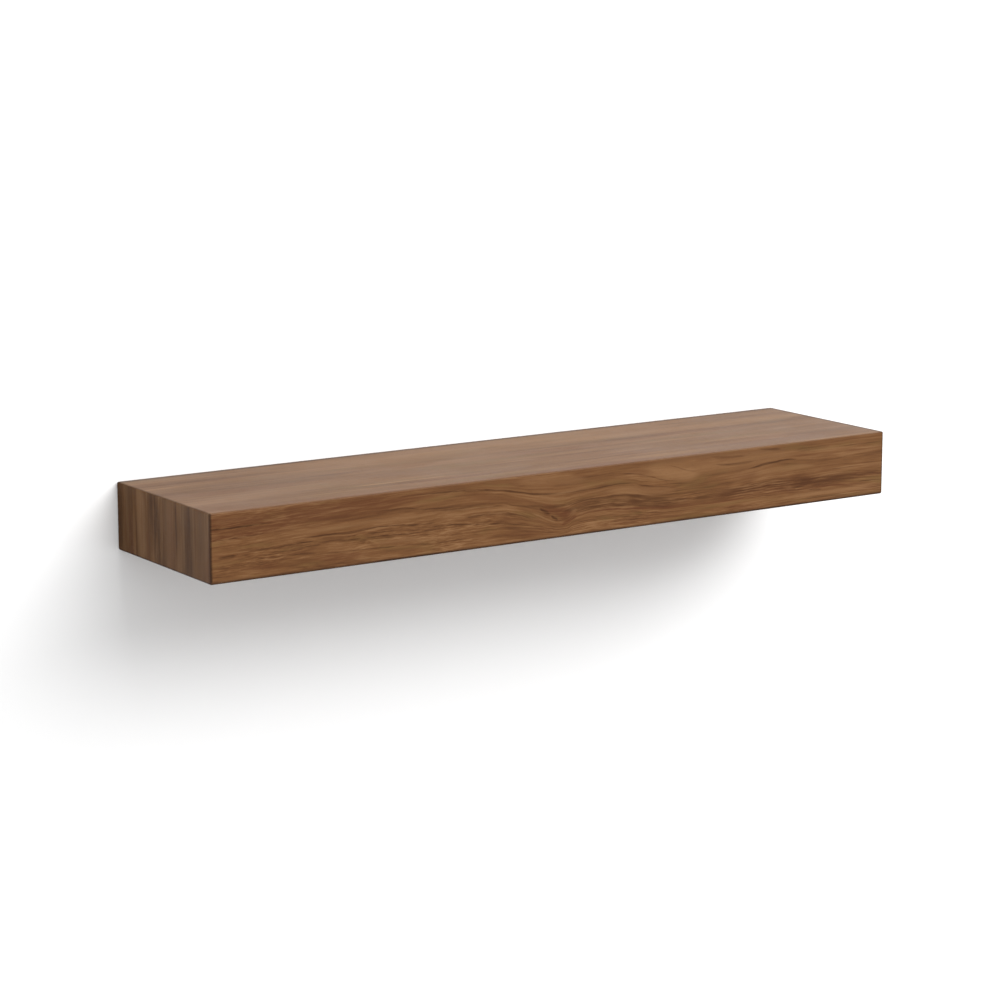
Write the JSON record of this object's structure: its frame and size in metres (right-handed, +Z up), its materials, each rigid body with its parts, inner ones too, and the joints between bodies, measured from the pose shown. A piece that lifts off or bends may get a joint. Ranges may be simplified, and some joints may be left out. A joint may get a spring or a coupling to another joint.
{
  "type": "floating wall shelf",
  "caption": "Thick floating wall shelf: a hollow mitred walnut-veneered box that slides onto a concealed steel bar-and-rod bracket and locks from below.",
  "frame": {"origin": "middle of the wall plate's back face, in the plane of the wall, halfway up the shelf", "axes": "+X along the shelf's length, +Y into the wall, +Z up; the shelf stands out towards -Y"},
  "size_m": [0.9144, 0.2748, 0.0762],
  "materials": {
    "walnut_top": "satin-lacquered walnut veneer, grain along the length, a little greyer than the front",
    "walnut_underside": "satin-lacquered walnut veneer, grain along the length",
    "walnut_front": "satin-lacquered walnut veneer, figured, grain along the length",
    "walnut_end": "satin-lacquered walnut veneer, grain upright",
    "core_timber": "planed softwood, unfinished",
    "tongue_plywood": "thin plywood, unfinished",
    "black_steel": "matt black powder coat",
    "bright_steel": "drawn bright steel",
    "zinc_steel": "zinc plated",
    "brass": "machined",
    "sleeve_nylon": "natural white nylon",
    "plug_nylon": "grey nylon"
  },
  "bodies": {
    "wall_bracket": {"wall_plate": "black_steel", "support_rod_1": "bright_steel", "rod_screw_1": "zinc_steel", "wall_screw_1": "zinc_steel", "wall_plug_1": "plug_nylon", "support_rod_2": "bright_steel", "rod_screw_2": "zinc_steel", "wall_screw_2": "zinc_steel", "wall_plug_2": "plug_nylon", "support_rod_3": "bright_steel", "rod_screw_3": "zinc_steel", "wall_screw_3": "zinc_steel", "wall_plug_3": "plug_nylon", "support_rod_4": "bright_steel", "rod_screw_4": "zinc_steel", "wall_screw_4": "zinc_steel", "wall_plug_4": "plug_nylon"},
    "shelf_box": {"top_panel": "walnut_top", "bottom_panel": "walnut_underside", "front_panel": "walnut_front", "end_panel_left": "walnut_end", "end_panel_right": "walnut_end", "back_rail": "core_timber", "middle_rail": "core_timber", "front_rail": "core_timber", "end_stile_left": "core_timber", "end_stile_right": "core_timber", "cross_rib_1": "core_timber", "cross_rib_2": "core_timber", "cross_rib_3": "core_timber", "rod_sleeve_1": "sleeve_nylon", "rod_sleeve_2": "sleeve_nylon", "rod_sleeve_3": "sleeve_nylon", "rod_sleeve_4": "sleeve_nylon", "tongue_front_top": "tongue_plywood", "tongue_front_bottom": "tongue_plywood", "tongue_left_top": "tongue_plywood", "tongue_left_bottom": "tongue_plywood", "tongue_left_front": "tongue_plywood", "tongue_right_top": "tongue_plywood", "tongue_right_bottom": "tongue_plywood", "tongue_right_front": "tongue_plywood", "threaded_insert_left": "brass", "threaded_insert_right": "brass"},
    "locking_screw_left": {"locking_screw_left": "zinc_steel"},
    "locking_screw_right": {"locking_screw_right": "zinc_steel"}
  },
  "joints": [
    {"name": "shelf_slide", "type": "slide", "parent": "wall_bracket", "child": "shelf_box", "axis": [0, -1, 0], "range_m": [0, 0.16]},
    {"name": "lock_left", "type": "slide", "parent": "shelf_box", "child": "locking_screw_left", "axis": [0, 0, -1], "range_m": [0, 0.004]},
    {"name": "lock_right", "type": "slide", "parent": "shelf_box", "child": "locking_screw_right", "axis": [0, 0, -1], "range_m": [0, 0.004]}
  ]
}
